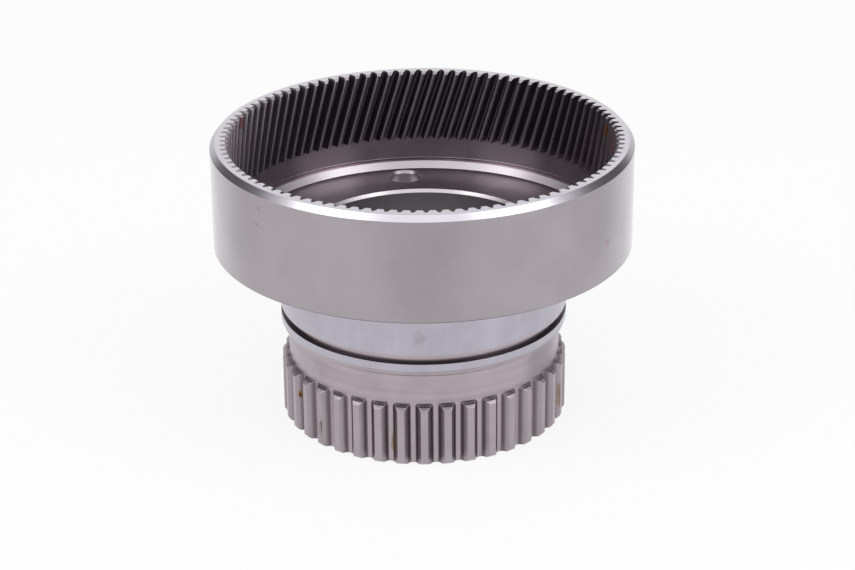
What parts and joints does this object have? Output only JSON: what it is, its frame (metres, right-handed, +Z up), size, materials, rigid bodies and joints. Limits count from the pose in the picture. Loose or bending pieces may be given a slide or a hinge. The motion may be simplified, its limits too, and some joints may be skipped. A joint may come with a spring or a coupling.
{
  "type": "internal ring gear",
  "caption": "Steel internal ring gear: a drum with helical internal teeth, a pierced web, and a hollow hub with a ground journal, snap-ring groove and external spline.",
  "frame": {"origin": "centre of the hub's foot, on the axis of the bore", "axes": "+Z up along the bore axis, from the splined hub to the open rim of the drum"},
  "size_m": [0.172, 0.172, 0.1193],
  "materials": {
    "steel": "satin turned steel, ground on the journal, with a few small rust spots"
  },
  "bodies": {
    "root": {"ring_gear": "steel"}
  },
  "joints": []
}
